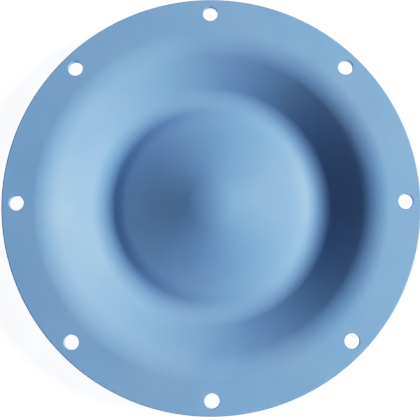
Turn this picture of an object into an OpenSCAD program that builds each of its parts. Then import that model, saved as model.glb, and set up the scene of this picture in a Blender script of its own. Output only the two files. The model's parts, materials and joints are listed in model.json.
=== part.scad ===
// Pump diaphragm, moulded in one piece from an elastomer sheet of even thickness.
// A flat bolting flange runs around the outside. Inside it the sheet sinks into one ring-shaped
// convolution, a groove seen from above, and rises again to a shallow cone with a rounded tip and no hole.
// The part stands on the underside of the groove, at z = 0, and its axis is the Z axis.

/* [Flange] */
// Outside diameter
outer_d = 200; // [170:0.5:300]
// Width of the flat ring, from the rim to where the shoulder begins
flange_w = 15; // [11.5:0.1:30]
// Radius of the rounding on both edges of the rim
rim_r = 0.8; // [0.2:0.1:1.4]

/* [Bolt holes] */
// Number of holes, evenly spaced
hole_count = 8; // [4:1:24]
// Diameter of each hole
hole_d = 7; // [3:0.5:8]
// Distance from the rim to the holes' centres
hole_edge = 7.25; // [5.5:0.25:7.75]

/* [Sheet] */
// Thickness of the sheet, the same all over
sheet_t = 3; // [2:0.25:5]

/* [Convolution] */
// Distance inwards from the flat ring to the bottom of the groove
outer_run = 32.2; // [25:0.2:50]
// Depth of the groove below the flange's upper face
groove_depth = 16; // [12:0.2:22]
// Radius across the bottom of the groove, on the upper face
groove_r = 11; // [7:0.2:14]
// Radius of the shoulder where the flange turns down into the groove, on the upper face
shoulder_r = 21; // [8:1:32]
// Distance inwards from the bottom of the groove to the edge of the cone
inner_run = 9; // [8:0.2:12]
// Rise from the bottom of the groove to the edge of the cone
inner_rise = 3.2; // [2:0.1:4]

/* [Cone] */
// Height of the tip above the flange's upper face
tip_lift = 0; // [-4:0.1:4]
// Radius of the rounded tip, on the upper face
tip_r = 36; // [15:1:60]
// Radius of the blend round the edge of the cone, on the underside
cone_edge_r = 35; // [2:1:60]

/* [Hidden] */

sheet_colour = [0.53, 0.68, 0.83];

// Largest turn between neighbouring points on a round stretch, in degrees
arc_step = 3;

// How far the hole cutters stand out of the flange on each side
cut_margin = 1;

// Radii from the axis, and heights of the upper face from the foot of the part
outer_radius = outer_d / 2;
flat_radius = outer_radius - flange_w;
groove_radius = flat_radius - outer_run;
edge_radius = groove_radius - inner_run;
hole_radius = outer_radius - hole_edge;
groove_z = sheet_t;
face_z = groove_z + groove_depth;
edge_z = groove_z + inner_rise;
tip_z = face_z + tip_lift;
cone_rise = tip_z - edge_z;

// Radius of the arc that starts out level and just reaches a point this far off.
// Two opposed arcs that make an S between level ends have it as the sum of their radii.
function roomy_radius(run, rise) = (run ^ 2 + rise ^ 2) / (2 * rise);

// The round stretches, held to the room that their walls leave them
groove_round = min(groove_r, roomy_radius(inner_run, inner_rise));
shoulder_round = min(shoulder_r, roomy_radius(outer_run, groove_depth) - groove_round);
tip_round = min(tip_r, roomy_radius(edge_radius, cone_rise));
rim_round = min(rim_r, sheet_t / 2);

// Slope of the straight line that leaves a point and touches an arc of the given radius,
// where run and gap are the horizontal and vertical distances from the point to the arc's centre
function tangent_slope(run, gap, radius) = atan2(run, gap) - acos(min(1, radius / norm([run, gap])));

// Length of that line
function tangent_length(run, gap, radius) = sqrt(max(0, norm([run, gap]) ^ 2 - radius ^ 2));

// Slopes of the three straight walls, in degrees
outer_slope = tangent_slope(outer_run, shoulder_round + groove_round - groove_depth, shoulder_round + groove_round);
inner_slope = tangent_slope(inner_run, groove_round - inner_rise, groove_round);
cone_slope = tangent_slope(edge_radius, tip_round - cone_rise, tip_round);

// Upward normal of a face that climbs outwards at the given slope
function normal(slope) = [-sin(slope), cos(slope)];

// Blend round the edge of the cone: its half turn, its room along the shorter wall, its radius and its middle.
// A radius counts as positive where the upper face is hollow and as negative where it is crowned.
blend_turn = (cone_slope - inner_slope) / 2;
blend_reach = min(
    tangent_length(inner_run, groove_round - inner_rise, groove_round),
    tangent_length(edge_radius, tip_round - cone_rise, tip_round)
);
blend_round = sign(blend_turn) * min(cone_edge_r + sheet_t, blend_reach / max(0.001, tan(abs(blend_turn))));
blend_centre = [edge_radius, edge_z] + blend_round / cos(blend_turn) * normal(blend_turn - cone_slope);

// Stations along a round stretch of the upper face, each a point and the slope there
function round_stretch(centre, radius, slope_from, slope_to) =
    let (steps = max(1, ceil(abs(slope_to - slope_from) / arc_step)))
    [for (i = [0 : steps])
        let (slope = slope_from + (slope_to - slope_from) * i / steps)
        [centre - radius * normal(slope), slope]];

// The upper face from the axis to the flat ring; straight walls join one round stretch to the next
upper_face = concat(
    round_stretch([0, tip_z - tip_round], -tip_round, 0, -cone_slope),
    round_stretch(blend_centre, blend_round, -cone_slope, -inner_slope),
    round_stretch([groove_radius, groove_z + groove_round], groove_round, -inner_slope, outer_slope),
    round_stretch([flat_radius, face_z - shoulder_round], -shoulder_round, outer_slope, 0)
);

// The rim, from the flange's upper face round to its underside
rim = concat(
    round_stretch([outer_radius - rim_round, face_z - rim_round], -rim_round, 0, -90),
    round_stretch([outer_radius - rim_round, face_z - sheet_t + rim_round], -rim_round, -90, -180)
);

// Half section through the sheet: the underside follows the upper face one thickness below it
module half_section() {
    last = len(upper_face) - 1;
    polygon(concat(
        [for (station = upper_face) station[0]],
        [for (station = rim) station[0]],
        [for (i = [last : -1 : 0]) upper_face[i][0] - sheet_t * normal(upper_face[i][1])]
    ));
}

module bolt_holes() {
    for (i = [0 : hole_count - 1])
        rotate(360 * i / hole_count)
            translate([hole_radius, 0, face_z - sheet_t - cut_margin])
                cylinder(d = hole_d, h = sheet_t + 2 * cut_margin);
}

module diaphragm() {
    color(sheet_colour)
        difference() {
            rotate_extrude() half_section();
            bolt_holes();
        }
}

diaphragm();
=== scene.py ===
"""Looks of a moulded elastomer pump diaphragm: its smooth skin, its finish, the studio and the camera."""

import json
import math

import bpy
import numpy as np
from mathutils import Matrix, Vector


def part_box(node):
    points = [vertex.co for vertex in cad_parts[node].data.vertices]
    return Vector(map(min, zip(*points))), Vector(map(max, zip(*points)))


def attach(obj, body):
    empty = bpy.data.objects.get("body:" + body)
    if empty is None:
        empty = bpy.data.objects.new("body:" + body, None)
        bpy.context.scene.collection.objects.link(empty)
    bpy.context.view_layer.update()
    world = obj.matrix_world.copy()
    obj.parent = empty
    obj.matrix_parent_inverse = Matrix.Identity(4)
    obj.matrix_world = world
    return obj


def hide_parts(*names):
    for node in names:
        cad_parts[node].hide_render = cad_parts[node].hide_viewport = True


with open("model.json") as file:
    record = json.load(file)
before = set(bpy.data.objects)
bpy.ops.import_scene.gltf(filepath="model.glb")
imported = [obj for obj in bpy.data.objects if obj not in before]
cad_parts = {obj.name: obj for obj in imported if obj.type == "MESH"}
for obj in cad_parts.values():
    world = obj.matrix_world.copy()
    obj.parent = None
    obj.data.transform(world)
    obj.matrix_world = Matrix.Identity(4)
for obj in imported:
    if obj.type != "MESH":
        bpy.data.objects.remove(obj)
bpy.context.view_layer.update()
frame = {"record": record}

MM = 0.001

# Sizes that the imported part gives
mounts = {mount["name"]: mount for mount in frame["record"]["mounts"]}
bolts = mounts["flange_bolts"]["dims"]
low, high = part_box("diaphragm")
OUTER_RADIUS = high.x
FACE_Z = mounts["flange_face"]["pos_m"][2]
UNDERSIDE_Z = mounts["flange_underside"]["pos_m"][2]
SHEET_T = FACE_Z - UNDERSIDE_Z
HOLE_COUNT = bolts["count"]
HOLE_RADIUS = bolts["hole_r_mm"] * MM
HOLE_CIRCLE = bolts["pcd_mm"] / 2 * MM

# The section's own lengths, as in the solid: widths going inwards from the rim to the flat ring's inner edge,
# the bottom of the groove and the edge of the cone, and the rise from the groove to that edge
FLANGE_WIDTH = 15 * MM
OUTER_RUN = 32.2 * MM
INNER_RUN = 9 * MM
INNER_RISE = 3.2 * MM

# Radii of its round stretches: shoulder, groove and tip on the upper face, the cone's edge on the underside
RIM_ROUND = 0.8 * MM
SHOULDER_ROUND = 21 * MM
GROOVE_ROUND = 11 * MM
CONE_EDGE_ROUND = 35 * MM
TIP_ROUND = 36 * MM

# Where the upper face turns: radii from the axis, and heights
FLAT_RADIUS = OUTER_RADIUS - FLANGE_WIDTH
GROOVE_RADIUS = FLAT_RADIUS - OUTER_RUN
EDGE_RADIUS = GROOVE_RADIUS - INNER_RUN
GROOVE_Z = low.z + SHEET_T
EDGE_Z = GROOVE_Z + INNER_RISE
TIP_Z = FACE_Z
BLEND_ROUND = CONE_EDGE_ROUND + SHEET_T

# Small rounding of the holes' edges
HOLE_EDGE_ROUND = 0.25 * MM

# Mesh density: segments from hole to hole, half the width in segments of the square frame round a hole,
# and the loops of faces in that frame, which widen outwards by the given power
SECTOR_SEGMENTS = 48
FRAME_HALF = 6
FRAME_LOOPS = 5
LOOP_POWER = 1.5
ARC_STEP = math.radians(2.5)
WALL_STEP = 2.5 * MM
RIM_POINTS = 7
HOLE_EDGE_POINTS = 4

# Points closer than this are one point
WELD_STEP = 0.001 * MM

# Blue of the elastomer on the flange; a darker blue at the middle, which is painted shade; and how far out
# that painted shade reaches
FLANGE_BLUE = (0.2, 0.345, 0.585, 1)
MIDDLE_BLUE_WITH_PAINTED_SHADE = (0.138, 0.262, 0.468, 1)
PAINTED_SHADE_REACH = 64 * MM
SPECULAR_LEVEL = 0.22

# Noise patterns of the finish, as (scale per metre, detail)
SHADE_NOISE = (38, 4)
SATURATION_NOISE = (22, 3)
SATIN_NOISE = (60, 4)
UNEVEN_NOISE = (130, 2)
GRAIN_NOISE = (2200, 3)

# The stretch of a noise's values that is used, and what it is spread over
NOISE_SPAN = (0.3, 0.7)
SHADE_SPAN = (0.97, 1.03)
SATURATION_SPAN = (0.96, 1.04)
ROUGHNESS_SPAN = (0.56, 0.7)

# Relief of the face, as (strength, height)
UNEVEN_RELIEF = (0.4, 0.2 * MM)
GRAIN_RELIEF = (0.5, 0.12 * MM)

# Camera, as the photograph was taken: nearly straight down from a little in front
CAMERA_AZIMUTH = math.radians(-0.25)
CAMERA_ELEVATION = math.radians(84)
CAMERA_DISTANCE = 0.35
CAMERA_TARGET = Vector((-0.55 * MM, -3.78 * MM, FACE_Z))
CAMERA_LENS = 63.16
SENSOR_WIDTH = 36

# Key light: soft, low, from the right
KEY_AZIMUTH = math.radians(4)
KEY_ELEVATION = math.radians(35.6)
KEY_DISTANCE = 1.63
KEY_SIZE = 0.68
KEY_POWER = 45

# Dim air overhead, and a pale backdrop low down: their strengths, and the sines of the elevations
# up to which the backdrop is full and where it has gone
WORLD_COLOUR = (0.97, 0.98, 1.0, 1)
WORLD_STRENGTH = 0.034
BACKDROP_STRENGTH = 1.45
BACKDROP_FULL = 0.03
BACKDROP_GONE = 0.15

# A white floor that glows a little, so that shadows on it stay pale
FLOOR_HALF = 3.0
FLOOR_COLOUR = (0.6, 0.6, 0.6, 1)
FLOOR_ROUGHNESS = 0.9
FLOOR_GLOW_COLOUR = (1, 1, 1, 1)
FLOOR_GLOW = 1.35

# The camera's response, as (light in, light out): a soft toe, and a shoulder that holds the highlights
FILM_RESPONSE = ((0, 0), (0.06, 0.043), (0.2, 0.2), (0.45, 0.49), (0.8, 0.735), (1.0, 0.8), (1.6, 1.0))

# Place of the curve for all three colours together among the view's curves
COMBINED_CURVE = 3


def normal(slope):
    """Upward normal, in the section's plane, of a face that climbs outwards at this slope."""
    return np.array([-math.sin(slope), math.cos(slope)])


def tangent_slope(run, gap, radius):
    """Slope of the line that leaves a point and touches an arc whose centre is this far off."""
    return math.atan2(run, gap) - math.acos(min(1, radius / math.hypot(run, gap)))


def round_stretch(centre, radius, slope_from, slope_to):
    """Stations (point, slope) along an arc; its radius is positive if the face is hollow there."""
    steps = max(2, math.ceil(abs(slope_to - slope_from) / ARC_STEP))
    slopes = np.linspace(slope_from, slope_to, steps + 1)
    return [(np.array(centre) - radius * normal(slope), slope) for slope in slopes]


def straight_stretch(start, end):
    """Stations between the ends of two round stretches, the ends left out."""
    steps = max(1, math.ceil(np.linalg.norm(end[0] - start[0]) / WALL_STEP))
    return [(start[0] + (end[0] - start[0]) * i / steps, start[1]) for i in range(1, steps)]


def upper_face():
    """Stations of the upper face from the axis to the flat ring, worked out as tangents between the arcs."""
    depth = FACE_Z - GROOVE_Z
    rounds = SHOULDER_ROUND + GROOVE_ROUND
    outer_slope = tangent_slope(FLAT_RADIUS - GROOVE_RADIUS, rounds - depth, rounds)
    inner_slope = tangent_slope(GROOVE_RADIUS - EDGE_RADIUS, GROOVE_ROUND - (EDGE_Z - GROOVE_Z), GROOVE_ROUND)
    cone_slope = tangent_slope(EDGE_RADIUS, TIP_ROUND - (TIP_Z - EDGE_Z), TIP_ROUND)
    half_turn = (cone_slope - inner_slope) / 2
    edge = np.array([EDGE_RADIUS, EDGE_Z])
    blend_centre = edge - BLEND_ROUND / math.cos(half_turn) * normal(half_turn - cone_slope)
    arcs = [
        round_stretch((0, TIP_Z - TIP_ROUND), -TIP_ROUND, 0, -cone_slope),
        round_stretch(blend_centre, -BLEND_ROUND, -cone_slope, -inner_slope),
        round_stretch((GROOVE_RADIUS, GROOVE_Z + GROOVE_ROUND), GROOVE_ROUND, -inner_slope, outer_slope),
        round_stretch((FLAT_RADIUS, FACE_Z - SHOULDER_ROUND), -SHOULDER_ROUND, outer_slope, 0),
    ]
    stations = list(arcs[0])
    for before, after in zip(arcs, arcs[1:]):
        stations += straight_stretch(before[-1], after[0])
        stations += after
    return stations


class Skin:
    """Collects points with their true normals, and faces between them; points in one place are one point."""

    def __init__(self):
        self.index = {}
        self.points = []
        self.normals = []
        self.faces = []

    def point(self, place, direction):
        """Number of the point at this place, which is made if it is new."""
        key = tuple(round(c / WELD_STEP) for c in place)
        if key not in self.index:
            self.index[key] = len(self.points)
            self.points.append(tuple(place))
            self.normals.append(tuple(direction))
        return self.index[key]

    def face(self, corners):
        """A face that looks to the side that its points' normals look to."""
        unique = [c for k, c in enumerate(corners) if c != corners[k - 1]]
        if len(unique) < 3:
            return
        places = [np.array(self.points[c]) for c in unique]
        across = np.cross(places[1] - places[0], places[2] - places[0])
        outwards = sum(np.array(self.normals[c]) for c in unique)
        if np.dot(across, outwards) < 0:
            unique.reverse()
        self.faces.append(unique)

    def strips(self, rows):
        """Faces between each closed row of points and the next; all rows have as many points."""
        for first, second in zip(rows, rows[1:]):
            count = len(first)
            for i in range(count):
                j = (i + 1) % count
                self.face([first[i], first[j], second[j], second[i]])

    def mesh(self, name):
        """The collected faces as a smooth mesh that keeps the true normals."""
        mesh = bpy.data.meshes.new(name)
        mesh.from_pydata(self.points, [], self.faces)
        mesh.polygons.foreach_set("use_smooth", [True] * len(mesh.polygons))
        mesh.normals_split_custom_set_from_vertices(self.normals)
        mesh.validate()
        return mesh


def turned(place, direction, angle):
    """A section point (radius, height) and its normal, swung round the axis."""
    c, s = math.cos(angle), math.sin(angle)
    return (place[0] * c, place[0] * s, place[1]), (direction[0] * c, direction[0] * s, direction[1])


def add_turned_face(skin, section, angles):
    """A face turned from a row of (point, normal) pairs in the section."""
    rows = []
    for place, direction in section:
        rows.append([skin.point(*turned(place, direction, angle)) for angle in angles])
    skin.strips(rows)


def add_flat_ring(skin, z, up, angles, inner, outer):
    """The flange's flat ring on one side: a square frame of faces round each hole, plain faces between."""
    facing = np.array([0, 0, up])
    radii = np.linspace(inner, outer, 2 * FRAME_HALF + 1)
    segments = len(angles)

    def grid(i, k):
        angle = angles[i % segments]
        return skin.point((radii[k] * math.cos(angle), radii[k] * math.sin(angle), z), facing)

    for hole in range(HOLE_COUNT):
        middle = hole * SECTOR_SEGMENTS
        for i in range(middle + FRAME_HALF, middle + SECTOR_SEGMENTS - FRAME_HALF):
            for k in range(len(radii) - 1):
                skin.face([grid(i, k), grid(i + 1, k), grid(i + 1, k + 1), grid(i, k + 1)])
        side = range(-FRAME_HALF, FRAME_HALF)
        around = [grid(middle + FRAME_HALF, k + FRAME_HALF) for k in side]
        around += [grid(middle - k, 2 * FRAME_HALF) for k in side]
        around += [grid(middle - FRAME_HALF, FRAME_HALF - k) for k in side]
        around += [grid(middle + k, 0) for k in side]
        add_hole_frame(skin, z, facing, angles[middle], around)


def hole_middle(angle):
    """Centre of the hole that lies in this direction from the axis, at height 0."""
    return HOLE_CIRCLE * np.array([math.cos(angle), math.sin(angle), 0])


def hole_directions(angle):
    """Directions round a hole, in step with the four sides of the square frame round it."""
    count = 4 * 2 * FRAME_HALF
    first_corner = angle + math.pi * 3 / 4
    turns = [first_corner - 2 * math.pi * i / count for i in range(count)]
    return [np.array([math.cos(turn), math.sin(turn), 0]) for turn in turns]


def add_hole_frame(skin, z, facing, angle, around):
    """Loops of faces from the square frame in to the edge of one hole."""
    centre = hole_middle(angle) + np.array([0, 0, z])
    mouth = [centre + (HOLE_RADIUS + HOLE_EDGE_ROUND) * d for d in hole_directions(angle)]
    rim = [np.array(skin.points[p]) for p in around]
    rows = []
    for loop in range(FRAME_LOOPS + 1):
        share = (loop / FRAME_LOOPS) ** LOOP_POWER
        rows.append([skin.point(m + (r - m) * share, facing) for m, r in zip(mouth, rim)])
    skin.strips(rows)


def hole_section():
    """A hole's wall with its two rounded edges, as (radius, height, normal outwards, normal upwards)."""
    section = []
    for turn in np.linspace(0, math.pi / 2, HOLE_EDGE_POINTS):
        radius = HOLE_RADIUS + HOLE_EDGE_ROUND * (1 - math.sin(turn))
        z = FACE_Z - HOLE_EDGE_ROUND * (1 - math.cos(turn))
        section.append((radius, z, -math.sin(turn), math.cos(turn)))
    section += [(radius, FACE_Z + UNDERSIDE_Z - z, out, -up) for radius, z, out, up in reversed(section)]
    return section


def add_hole_walls(skin):
    """The wall of every hole."""
    for hole in range(HOLE_COUNT):
        angle = 2 * math.pi * hole / HOLE_COUNT
        centre = hole_middle(angle)
        directions = hole_directions(angle)
        rows = []
        for radius, z, out, up in hole_section():
            lift = np.array([0, 0, z])
            tilt = np.array([0, 0, up])
            rows.append([skin.point(centre + radius * d + lift, out * d + tilt) for d in directions])
        skin.strips(rows)


def rim_section():
    """The rounded rim, from the flange's upper face to its underside, as (point, normal) pairs."""
    centre_radius = OUTER_RADIUS - RIM_ROUND
    quarters = (
        (FACE_Z - RIM_ROUND, np.linspace(math.pi / 2, 0, RIM_POINTS)),
        (UNDERSIDE_Z + RIM_ROUND, np.linspace(0, -math.pi / 2, RIM_POINTS)),
    )
    section = []
    for centre_z, turns in quarters:
        for turn in turns:
            out = np.array([math.cos(turn), math.sin(turn)])
            section.append((np.array([centre_radius, centre_z]) + RIM_ROUND * out, out))
    return section


def make_diaphragm():
    """The whole moulded sheet as one closed skin."""
    skin = Skin()
    segments = SECTOR_SEGMENTS * HOLE_COUNT
    angles = [2 * math.pi * i / segments for i in range(segments)]
    stations = upper_face()
    upper = [(place, normal(slope)) for place, slope in stations]
    lower = [(place - SHEET_T * normal(slope), -normal(slope)) for place, slope in stations]
    add_turned_face(skin, upper, angles)
    add_turned_face(skin, lower, angles)
    add_flat_ring(skin, FACE_Z, 1, angles, FLAT_RADIUS, OUTER_RADIUS - RIM_ROUND)
    add_flat_ring(skin, UNDERSIDE_Z, -1, angles, FLAT_RADIUS, OUTER_RADIUS - RIM_ROUND)
    add_turned_face(skin, rim_section(), angles)
    add_hole_walls(skin)
    piece = bpy.data.objects.new("moulded_sheet", skin.mesh("moulded_sheet"))
    bpy.context.scene.collection.objects.link(piece)
    return piece


class Finish:
    """The nodes of one material; its patterns lie in the part's own coordinates."""

    def __init__(self, name):
        self.material = bpy.data.materials.new(name)
        self.material.use_nodes = True
        self.tree = self.material.node_tree
        self.shader = self.tree.nodes["Principled BSDF"]
        self.place = self.add("ShaderNodeTexCoord").outputs["Object"]

    def add(self, kind, **settings):
        node = self.tree.nodes.new(kind)
        for name, value in settings.items():
            setattr(node, name, value)
        return node

    def link(self, output, socket):
        self.tree.links.new(output, socket)

    def noise(self, scale, detail):
        """A noise pattern's values."""
        node = self.add("ShaderNodeTexNoise")
        node.inputs["Scale"].default_value = scale
        node.inputs["Detail"].default_value = detail
        self.link(self.place, node.inputs["Vector"])
        return node.outputs["Fac"]

    def spread(self, value, source, target, kind="LINEAR"):
        """Values from the source span, spread over the target span."""
        node = self.add("ShaderNodeMapRange", interpolation_type=kind)
        node.inputs["From Min"].default_value, node.inputs["From Max"].default_value = source
        node.inputs["To Min"].default_value, node.inputs["To Max"].default_value = target
        self.link(value, node.inputs["Value"])
        return node.outputs["Result"]

    def bump(self, height, strength, distance):
        """A relief made from a pattern's values."""
        node = self.add("ShaderNodeBump")
        node.inputs["Strength"].default_value = strength
        node.inputs["Distance"].default_value = distance
        self.link(height, node.inputs["Height"])
        return node

    def axis_distance(self):
        """Distance from the part's axis."""
        across = self.add("ShaderNodeVectorMath", operation="MULTIPLY")
        across.inputs[1].default_value = (1, 1, 0)
        self.link(self.place, across.inputs[0])
        length = self.add("ShaderNodeVectorMath", operation="LENGTH")
        self.link(across.outputs["Vector"], length.inputs[0])
        return length.outputs["Value"]


def add_pigment_and_painted_shade(finish):
    """Blue darkened towards the middle as painted shade, with faint mottling."""
    # Painted shade: the flange blue is mixed towards a darker blue near the axis
    painted_shade_mix = finish.add("ShaderNodeMix", data_type="RGBA")
    painted_shade_mix.inputs["A"].default_value = MIDDLE_BLUE_WITH_PAINTED_SHADE
    painted_shade_mix.inputs["B"].default_value = FLANGE_BLUE
    outwards = finish.spread(finish.axis_distance(), (0, PAINTED_SHADE_REACH), (0, 1), "SMOOTHSTEP")
    finish.link(outwards, painted_shade_mix.inputs["Factor"])
    mottle = finish.add("ShaderNodeHueSaturation")
    finish.link(painted_shade_mix.outputs["Result"], mottle.inputs["Color"])
    shade = finish.spread(finish.noise(*SHADE_NOISE), NOISE_SPAN, SHADE_SPAN)
    finish.link(shade, mottle.inputs["Value"])
    saturation = finish.spread(finish.noise(*SATURATION_NOISE), NOISE_SPAN, SATURATION_SPAN)
    finish.link(saturation, mottle.inputs["Saturation"])
    finish.link(mottle.outputs["Color"], finish.shader.inputs["Base Color"])


def add_satin(finish):
    """Satin that is a little uneven, over a gently uneven face with a fine moulded grain."""
    roughness = finish.spread(finish.noise(*SATIN_NOISE), NOISE_SPAN, ROUGHNESS_SPAN)
    finish.link(roughness, finish.shader.inputs["Roughness"])
    uneven = finish.bump(finish.noise(*UNEVEN_NOISE), *UNEVEN_RELIEF)
    grain = finish.bump(finish.noise(*GRAIN_NOISE), *GRAIN_RELIEF)
    finish.link(uneven.outputs["Normal"], grain.inputs["Normal"])
    finish.link(grain.outputs["Normal"], finish.shader.inputs["Normal"])


def elastomer():
    """Smooth light-blue rubber."""
    finish = Finish("light_blue_elastomer")
    finish.shader.inputs["Specular IOR Level"].default_value = SPECULAR_LEVEL
    # Pigment with faint mottling, and painted shade that darkens the middle
    add_pigment_and_painted_shade(finish)
    add_satin(finish)
    return finish.material


def make_floor():
    mesh = bpy.data.meshes.new("floor")
    h = FLOOR_HALF
    mesh.from_pydata([(-h, -h, 0), (h, -h, 0), (h, h, 0), (-h, h, 0)], [], [(0, 1, 2, 3)])
    floor = bpy.data.objects.new("floor", mesh)
    bpy.context.scene.collection.objects.link(floor)
    material = bpy.data.materials.new("pale_floor")
    material.use_nodes = True
    shader = material.node_tree.nodes["Principled BSDF"]
    shader.inputs["Base Color"].default_value = FLOOR_COLOUR
    shader.inputs["Roughness"].default_value = FLOOR_ROUGHNESS
    shader.inputs["Emission Color"].default_value = FLOOR_GLOW_COLOUR
    shader.inputs["Emission Strength"].default_value = FLOOR_GLOW
    mesh.materials.append(material)


def direction_to(azimuth, elevation):
    """Direction at this azimuth, counted from +X, and this elevation."""
    flat = math.cos(elevation)
    return Vector((flat * math.cos(azimuth), flat * math.sin(azimuth), math.sin(elevation)))


def make_key_light():
    key = bpy.data.lights.new("key", "AREA")
    key.shape = "DISK"
    key.size = KEY_SIZE
    key.energy = KEY_POWER
    lamp = bpy.data.objects.new("key", key)
    towards = direction_to(KEY_AZIMUTH, KEY_ELEVATION)
    lamp.location = KEY_DISTANCE * towards
    lamp.rotation_euler = towards.to_track_quat("Z", "Y").to_euler()
    bpy.context.scene.collection.objects.link(lamp)


def make_world():
    """Dim air overhead, and a pale backdrop low down, beyond the floor's far edge."""
    world = bpy.data.worlds.new("studio")
    world.use_nodes = True
    tree = world.node_tree
    background = tree.nodes["Background"]
    background.inputs["Color"].default_value = WORLD_COLOUR
    heading = tree.nodes.new("ShaderNodeTexCoord")
    parts = tree.nodes.new("ShaderNodeSeparateXYZ")
    tree.links.new(heading.outputs["Generated"], parts.inputs["Vector"])
    fade = tree.nodes.new("ShaderNodeMapRange")
    fade.interpolation_type = "SMOOTHSTEP"
    fade.inputs["From Min"].default_value = BACKDROP_FULL
    fade.inputs["From Max"].default_value = BACKDROP_GONE
    fade.inputs["To Min"].default_value = BACKDROP_STRENGTH
    fade.inputs["To Max"].default_value = WORLD_STRENGTH
    tree.links.new(parts.outputs["Z"], fade.inputs["Value"])
    tree.links.new(fade.outputs["Result"], background.inputs["Strength"])
    bpy.context.scene.world = world


def make_camera():
    data = bpy.data.cameras.new("camera")
    data.sensor_width = SENSOR_WIDTH
    data.lens = CAMERA_LENS
    camera = bpy.data.objects.new("camera", data)
    back = direction_to(CAMERA_AZIMUTH - math.pi / 2, CAMERA_ELEVATION)
    camera.location = CAMERA_TARGET + CAMERA_DISTANCE * back
    camera.rotation_euler = back.to_track_quat("Z", "Y").to_euler()
    bpy.context.scene.collection.objects.link(camera)
    bpy.context.scene.camera = camera


def set_film():
    """Plain colours, with the response curve of a camera."""
    view = bpy.context.scene.view_settings
    view.view_transform = "Standard"
    view.use_curve_mapping = True
    mapping = view.curve_mapping
    mapping.use_clip = False
    curve = mapping.curves[COMBINED_CURVE]
    curve.points[0].location = FILM_RESPONSE[0]
    curve.points[1].location = FILM_RESPONSE[-1]
    for light_in, light_out in FILM_RESPONSE[1:-1]:
        curve.points.new(light_in, light_out)
    mapping.update()


sheet = make_diaphragm()
sheet.data.materials.append(elastomer())
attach(sheet, "root")
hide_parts("diaphragm")
make_floor()
make_key_light()
make_world()
make_camera()
set_film()
